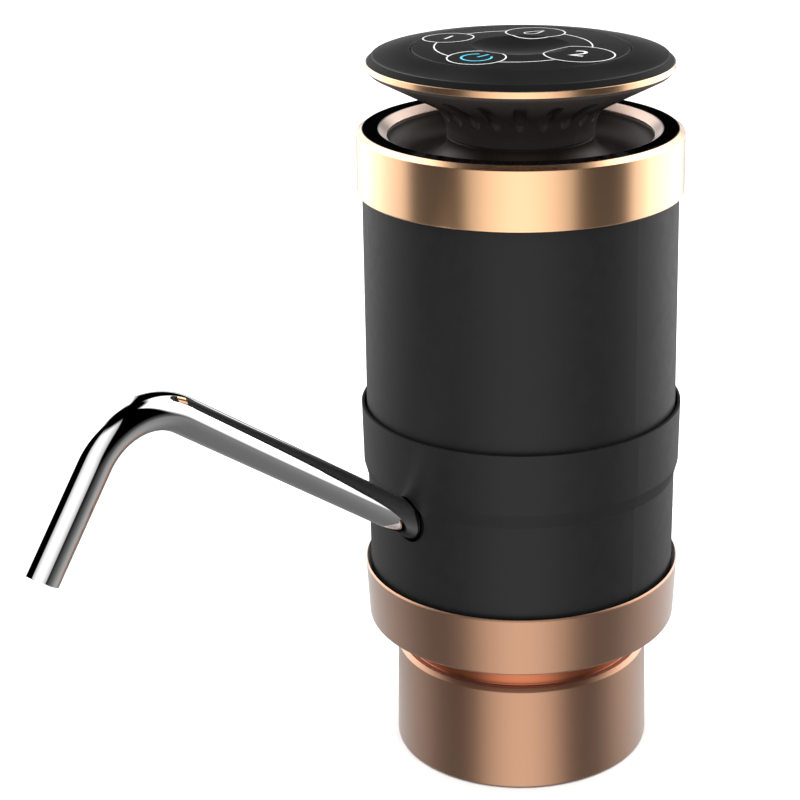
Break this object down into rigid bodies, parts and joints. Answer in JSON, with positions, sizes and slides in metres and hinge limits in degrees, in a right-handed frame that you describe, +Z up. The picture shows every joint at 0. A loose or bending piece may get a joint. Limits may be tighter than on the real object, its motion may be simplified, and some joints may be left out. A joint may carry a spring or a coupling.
{
  "type": "electric water bottle pump",
  "caption": "Rechargeable electric pump that sits on a large water bottle's neck, with a touch panel on a flared head and a bent swivelling steel spout.",
  "frame": {"origin": "centre of the collar's open rim, where the bottle's neck enters", "axes": "+Z up along the pump's axis, -Y towards the spout, +X to the right seen from the spout's side looking at the pump with +Y away"},
  "size_m": [0.076, 0.1742, 0.1727],
  "materials": {
    "satin_copper": "satin copper-coloured metallic coating",
    "polished_rose_gold": "polished rose-gold plating",
    "matte_black": "fine matte black",
    "gloss_black": "glossy black",
    "bright_steel_tube": "mirror-polished steel tube",
    "steel": "plain bright steel",
    "brass_parts": "plain brass",
    "black_silicone": "matte black silicone",
    "white_nylon": "off-white moulded nylon",
    "milky_silicone": "milky silicone hose",
    "circuit_board": "green solder mask",
    "black_components": "black moulded components",
    "led_white": "clear white lens",
    "ribbon_white": "white film cable",
    "dark_ferrite": "dark sintered ferrite and carbon",
    "wound_core": "laminated core with varnished copper windings",
    "cell_sleeve": "shrink-sleeved cell"
  },
  "bodies": {
    "housing": {"bottle_collar": "satin_copper", "neck_seal": "black_silicone", "lower_trim_ring": "satin_copper", "lower_barrel": "matte_black", "base_screws": "steel", "body_gasket": "black_silicone", "upper_barrel": "matte_black", "upper_trim_ring": "polished_rose_gold", "top_annulus": "gloss_black", "bowl_bezel": "polished_rose_gold", "bowl": "gloss_black", "bowl_screws": "steel", "head_stem": "matte_black", "stem_screws": "steel", "head_rim_ring": "polished_rose_gold", "touch_panel": "gloss_black", "touch_board": "circuit_board", "touch_contacts": "black_silicone", "status_leds": "led_white", "ribbon_cable": "ribbon_white", "carrier_plate": "matte_black", "plate_screws": "steel", "battery_holder": "matte_black", "battery_cell": "cell_sleeve", "battery_contacts": "steel", "main_board": "circuit_board", "board_parts": "black_components", "usb_socket": "steel", "buzzer": "black_components", "motor_can": "steel", "motor_end_cap": "white_nylon", "motor_magnets": "dark_ferrite", "motor_bushes": "brass_parts", "motor_brushes": "dark_ferrite", "motor_terminals": "brass_parts", "motor_bracket": "steel", "motor_screws": "steel", "pump_body": "white_nylon", "pump_cover": "white_nylon", "cover_gasket": "black_silicone", "idler_pin": "steel", "shaft_bush": "brass_parts", "shaft_seal": "black_silicone", "pump_screws": "steel", "inlet_fitting": "white_nylon", "inlet_seal": "black_silicone", "outlet_hose": "milky_silicone", "hose_clamps": "steel", "spout_socket": "matte_black", "spout_seals": "black_silicone", "spout_grommet": "black_silicone"},
    "spout": {"spout_tube": "bright_steel_tube"},
    "rotor": {"motor_shaft": "steel", "rotor_core": "wound_core", "commutator": "brass_parts", "drive_gear": "white_nylon"},
    "idler": {"idler_gear": "white_nylon"},
    "ball": {"check_ball": "steel"}
  },
  "joints": [
    {"name": "spout_swivel", "type": "hinge", "parent": "housing", "child": "spout", "pos_m": [0, -0.0363, 0.0667], "axis": [0, -0.8192, 0.5736], "continuous": true},
    {"name": "rotor_spin", "type": "hinge", "parent": "housing", "child": "rotor", "pos_m": [-0.006, 0.008, 0.05], "axis": [0, 0, 1], "continuous": true},
    {"name": "idler_spin", "type": "hinge", "parent": "housing", "child": "idler", "pos_m": [0.006, 0.008, 0.0312], "axis": [0, 0, 1], "continuous": true},
    {"name": "check_ball_lift", "type": "slide", "parent": "housing", "child": "ball", "axis": [0, 0, 1], "range_m": [0, 0.0015]}
  ],
  "couplings": [
    {"joint": "idler_spin", "follows": "rotor_spin", "ratio": -1}
  ]
}
